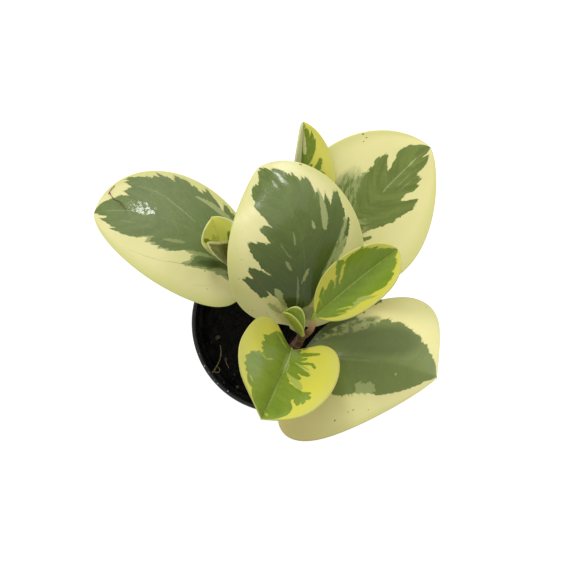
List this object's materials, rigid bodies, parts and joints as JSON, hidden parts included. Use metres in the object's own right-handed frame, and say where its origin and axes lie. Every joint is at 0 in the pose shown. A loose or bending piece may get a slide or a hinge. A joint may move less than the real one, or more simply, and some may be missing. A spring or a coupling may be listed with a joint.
{
  "type": "potted variegated peperomia",
  "caption": "Small round nursery pot with a variegated peperomia: thick oval leaves, green in the middle and cream at the margin, on short stems in dark soil.",
  "frame": {"origin": "middle of the pot's flat underside", "axes": "+Z up out of the pot; +X to the right and +Y up in a view from straight above with the open, bare part of the soil at the lower left"},
  "size_m": [0.1718, 0.1525, 0.1528],
  "materials": {
    "pot_plastic": "black moulded plastic, soft gloss",
    "soil": "damp, dark, crumbly potting mix",
    "stem": "smooth, dull maroon to green skin",
    "leaf_grown": "waxy, grey green patch on a cream margin",
    "leaf_young": "waxy, bright green patch on a yellow green margin"
  },
  "bodies": {
    "root": {"pot": "pot_plastic", "soil": "soil", "stem_front": "stem", "stem_left": "stem", "stem_back": "stem", "leaf_centre": "leaf_grown", "leaf_left": "leaf_grown", "leaf_back_right": "leaf_grown", "leaf_low_right": "leaf_grown", "leaf_front": "leaf_young", "leaf_small_right": "leaf_young", "leaf_top_folded": "leaf_young", "bud_centre": "leaf_young", "bud_left_outer": "leaf_young", "bud_left_inner": "leaf_young"}
  },
  "joints": []
}
